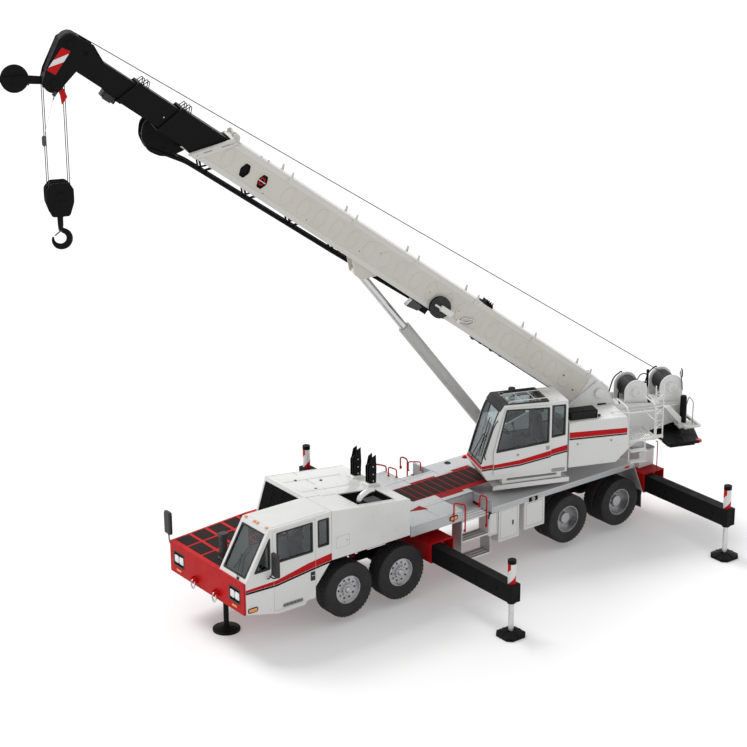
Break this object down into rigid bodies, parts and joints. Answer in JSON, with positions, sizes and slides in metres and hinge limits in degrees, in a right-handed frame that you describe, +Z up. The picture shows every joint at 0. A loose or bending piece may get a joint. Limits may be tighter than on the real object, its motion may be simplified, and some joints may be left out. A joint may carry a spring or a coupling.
{
  "type": "mobile crane",
  "caption": "Truck-mounted telescopic crane on its outriggers, with a red and white carrier, a cab beside the hood, a slewing superstructure and a raised boom with a hook block.",
  "frame": {"origin": "on the ground under the middle of the whole crane's box, at the stance kept from the picture", "axes": "+X to the front of the carrier, +Y to its left, +Z up"},
  "size_m": [13.5163, 7.57, 11.3048],
  "materials": {
    "chassis_black": "satin",
    "axle_iron": "matte",
    "tread_plate": "satin",
    "body_white": "gloss",
    "body_red": "gloss",
    "boom_cream": "satin",
    "boom_black": "satin",
    "ballast": "painted matte",
    "engine_iron": "matte",
    "winch_iron": "satin",
    "cylinder_grey": "satin",
    "chrome_rod": "polished",
    "wire_rope": "oiled",
    "seat_fabric": "woven",
    "tyre_rubber": "matte",
    "wheel_aluminium": "bright"
  },
  "bodies": {
    "carrier": {"frame": "chassis_black", "axles": "chassis_black", "deck": "tread_plate", "front_deck": "body_red", "cabinets": "body_white", "hood": "body_white", "engine": "engine_iron", "boom_rest": "chassis_black", "carrier_cab": "body_white", "driver_seat": "seat_fabric"},
    "cab_door": {"carrier_cab_door": "body_white"},
    "knuckle_1_left_body": {"knuckle_1_left": "axle_iron"},
    "wheel_front_1_left": {"tyre_front_1_left": "tyre_rubber", "rim_front_1_left": "wheel_aluminium"},
    "knuckle_1_right_body": {"knuckle_1_right": "axle_iron"},
    "wheel_front_1_right": {"tyre_front_1_right": "tyre_rubber", "rim_front_1_right": "wheel_aluminium"},
    "knuckle_2_left_body": {"knuckle_2_left": "axle_iron"},
    "wheel_front_2_left": {"tyre_front_2_left": "tyre_rubber", "rim_front_2_left": "wheel_aluminium"},
    "knuckle_2_right_body": {"knuckle_2_right": "axle_iron"},
    "wheel_front_2_right": {"tyre_front_2_right": "tyre_rubber", "rim_front_2_right": "wheel_aluminium"},
    "wheels_rear_1_left": {"tyres_rear_1_left": "tyre_rubber", "rims_rear_1_left": "wheel_aluminium"},
    "wheels_rear_1_right": {"tyres_rear_1_right": "tyre_rubber", "rims_rear_1_right": "wheel_aluminium"},
    "wheels_rear_2_left": {"tyres_rear_2_left": "tyre_rubber", "rims_rear_2_left": "wheel_aluminium"},
    "wheels_rear_2_right": {"tyres_rear_2_right": "tyre_rubber", "rims_rear_2_right": "wheel_aluminium"},
    "outrigger_front_left": {"outrigger_beam_front_left": "chassis_black"},
    "jack_front_left_body": {"jack_front_left": "chassis_black"},
    "outrigger_front_right": {"outrigger_beam_front_right": "chassis_black"},
    "jack_front_right_body": {"jack_front_right": "chassis_black"},
    "outrigger_rear_left": {"outrigger_beam_rear_left": "chassis_black"},
    "jack_rear_left_body": {"jack_rear_left": "chassis_black"},
    "outrigger_rear_right": {"outrigger_beam_rear_right": "chassis_black"},
    "jack_rear_right_body": {"jack_rear_right": "chassis_black"},
    "jack_nose_body": {"jack_nose": "chassis_black"},
    "superstructure": {"super_frame": "body_white", "winch_frames": "chassis_black", "counterweight": "ballast", "side_cabinet": "body_white", "platform": "body_red", "operator_cab": "body_white", "operator_seat": "seat_fabric"},
    "operator_door_body": {"operator_door": "body_white"},
    "winch_front": {"winch_drum_front": "winch_iron"},
    "winch_rear": {"winch_drum_rear": "winch_iron"},
    "boom": {"boom_base": "boom_cream", "fly_jib": "boom_black"},
    "section_2": {"boom_section_2": "boom_black"},
    "section_3": {"boom_section_3": "boom_black"},
    "boom_tip_body": {"boom_tip": "boom_black"},
    "falls": {"hoist_falls": "wire_rope"},
    "hook": {"hook_block": "boom_black"},
    "lift_rod_body": {"lift_rod": "chrome_rod"},
    "lift_barrel_body": {"lift_barrel": "cylinder_grey"}
  },
  "joints": [
    {"name": "cab_door_hinge", "type": "hinge", "parent": "carrier", "child": "cab_door", "pos_m": [4.23252, 1.28, 1.6], "axis": [0, 0, -1], "range_deg": [0, 70]},
    {"name": "steer_1_left", "type": "hinge", "parent": "carrier", "child": "knuckle_1_left_body", "pos_m": [2.45852, 0.76, 0.71], "axis": [0, 0, 1], "range_deg": [-30, 30]},
    {"name": "spin_front_1_left", "type": "hinge", "parent": "knuckle_1_left_body", "child": "wheel_front_1_left", "pos_m": [2.45852, 1.065, 0.71], "axis": [0, 1, 0], "continuous": true},
    {"name": "steer_1_right", "type": "hinge", "parent": "carrier", "child": "knuckle_1_right_body", "pos_m": [2.45852, -0.76, 0.71], "axis": [0, 0, 1], "range_deg": [-30, 30]},
    {"name": "spin_front_1_right", "type": "hinge", "parent": "knuckle_1_right_body", "child": "wheel_front_1_right", "pos_m": [2.45852, -1.065, 0.71], "axis": [0, 1, 0], "continuous": true},
    {"name": "steer_2_left", "type": "hinge", "parent": "carrier", "child": "knuckle_2_left_body", "pos_m": [1.16852, 0.76, 0.71], "axis": [0, 0, 1], "range_deg": [-24, 24]},
    {"name": "spin_front_2_left", "type": "hinge", "parent": "knuckle_2_left_body", "child": "wheel_front_2_left", "pos_m": [1.16852, 1.065, 0.71], "axis": [0, 1, 0], "continuous": true},
    {"name": "steer_2_right", "type": "hinge", "parent": "carrier", "child": "knuckle_2_right_body", "pos_m": [1.16852, -0.76, 0.71], "axis": [0, 0, 1], "range_deg": [-24, 24]},
    {"name": "spin_front_2_right", "type": "hinge", "parent": "knuckle_2_right_body", "child": "wheel_front_2_right", "pos_m": [1.16852, -1.065, 0.71], "axis": [0, 1, 0], "continuous": true},
    {"name": "spin_rear_1_left", "type": "hinge", "parent": "carrier", "child": "wheels_rear_1_left", "pos_m": [-3.24148, 0.98, 0.672], "axis": [0, 1, 0], "continuous": true},
    {"name": "spin_rear_1_right", "type": "hinge", "parent": "carrier", "child": "wheels_rear_1_right", "pos_m": [-3.24148, -0.98, 0.672], "axis": [0, 1, 0], "continuous": true},
    {"name": "spin_rear_2_left", "type": "hinge", "parent": "carrier", "child": "wheels_rear_2_left", "pos_m": [-4.71148, 0.98, 0.672], "axis": [0, 1, 0], "continuous": true},
    {"name": "spin_rear_2_right", "type": "hinge", "parent": "carrier", "child": "wheels_rear_2_right", "pos_m": [-4.71148, -0.98, 0.672], "axis": [0, 1, 0], "continuous": true},
    {"name": "outrigger_front_left_slide", "type": "slide", "parent": "carrier", "child": "outrigger_front_left", "axis": [0, 1, 0], "range_m": [-2.2, 0]},
    {"name": "jack_front_left_slide", "type": "slide", "parent": "outrigger_front_left", "child": "jack_front_left_body", "axis": [0, 0, 1], "range_m": [0, 0.56]},
    {"name": "outrigger_front_right_slide", "type": "slide", "parent": "carrier", "child": "outrigger_front_right", "axis": [0, -1, 0], "range_m": [-2.2, 0]},
    {"name": "jack_front_right_slide", "type": "slide", "parent": "outrigger_front_right", "child": "jack_front_right_body", "axis": [0, 0, 1], "range_m": [0, 0.56]},
    {"name": "outrigger_rear_left_slide", "type": "slide", "parent": "carrier", "child": "outrigger_rear_left", "axis": [0, 1, 0], "range_m": [-2.2, 0]},
    {"name": "jack_rear_left_slide", "type": "slide", "parent": "outrigger_rear_left", "child": "jack_rear_left_body", "axis": [0, 0, 1], "range_m": [0, 0.56]},
    {"name": "outrigger_rear_right_slide", "type": "slide", "parent": "carrier", "child": "outrigger_rear_right", "axis": [0, -1, 0], "range_m": [-2.2, 0]},
    {"name": "jack_rear_right_slide", "type": "slide", "parent": "outrigger_rear_right", "child": "jack_rear_right_body", "axis": [0, 0, 1], "range_m": [0, 0.56]},
    {"name": "jack_nose_slide", "type": "slide", "parent": "carrier", "child": "jack_nose_body", "axis": [0, 0, 1], "range_m": [0, 0.48]},
    {"name": "slew", "type": "hinge", "parent": "carrier", "child": "superstructure", "pos_m": [-3.03148, 0, 1.7], "axis": [0, 0, 1], "continuous": true},
    {"name": "operator_door_slide", "type": "slide", "parent": "superstructure", "child": "operator_door_body", "axis": [-0.9397, 0.342, 0], "range_m": [0, 0.85]},
    {"name": "winch_front_turn", "type": "hinge", "parent": "superstructure", "child": "winch_front", "pos_m": [-5.32433, 0.83453, 3.01], "axis": [0.342, 0.9397, 0], "continuous": true},
    {"name": "winch_rear_turn", "type": "hinge", "parent": "superstructure", "child": "winch_rear", "pos_m": [-6.08548, 1.11157, 3.04], "axis": [0.342, 0.9397, 0], "continuous": true},
    {"name": "boom_lift", "type": "hinge", "parent": "superstructure", "child": "boom", "pos_m": [-4.488, 0.53013, 3.125], "axis": [-0.342, -0.9397, 0], "range_deg": [-39.6, 41.4]},
    {"name": "telescope", "type": "slide", "parent": "boom", "child": "section_2", "axis": [0.7544, -0.2746, 0.5962], "range_m": [-0.65, 6.9]},
    {"name": "telescope_2", "type": "slide", "parent": "section_2", "child": "section_3", "axis": [0.7544, -0.2746, 0.5962], "range_m": [-0.65, 6.9]},
    {"name": "telescope_3", "type": "slide", "parent": "section_3", "child": "boom_tip_body", "axis": [0.7544, -0.2746, 0.5962], "range_m": [-0.65, 6.9]},
    {"name": "falls_hang", "type": "hinge", "parent": "boom_tip_body", "child": "falls", "pos_m": [5.8584, -3.23565, 10.40522], "axis": [-0.342, -0.9397, 0], "range_deg": [-41.4, 39.6]},
    {"name": "hook_hoist", "type": "slide", "parent": "falls", "child": "hook", "axis": [0, 0, -1], "range_m": [-1.2, 6.8], "deforming": ["hoist_falls"]},
    {"name": "lift_rod_turn", "type": "hinge", "parent": "boom", "child": "lift_rod_body", "pos_m": [0.34805, -1.23005, 6.17479], "axis": [-0.342, -0.9397, 0], "range_deg": [-8.42, 8.79]},
    {"name": "lift_barrel_slide", "type": "slide", "parent": "lift_rod_body", "child": "lift_barrel_body", "axis": [-0.5673, 0.2065, -0.7972], "range_m": [-1.4564, 1.5224]}
  ],
  "couplings": [
    {"joint": "steer_1_right", "follows": "steer_1_left", "ratio": 1},
    {"joint": "steer_2_left", "follows": "steer_1_left", "ratio": 0.8},
    {"joint": "steer_2_right", "follows": "steer_1_left", "ratio": 0.8},
    {"joint": "telescope_2", "follows": "telescope", "ratio": 1},
    {"joint": "telescope_3", "follows": "telescope", "ratio": 1},
    {"joint": "falls_hang", "follows": "boom_lift", "ratio": -1},
    {"joint": "lift_rod_turn", "follows": "boom_lift", "ratio": 0.21},
    {"joint": "lift_barrel_slide", "follows": "boom_lift", "m_per_rad": 2.1}
  ]
}
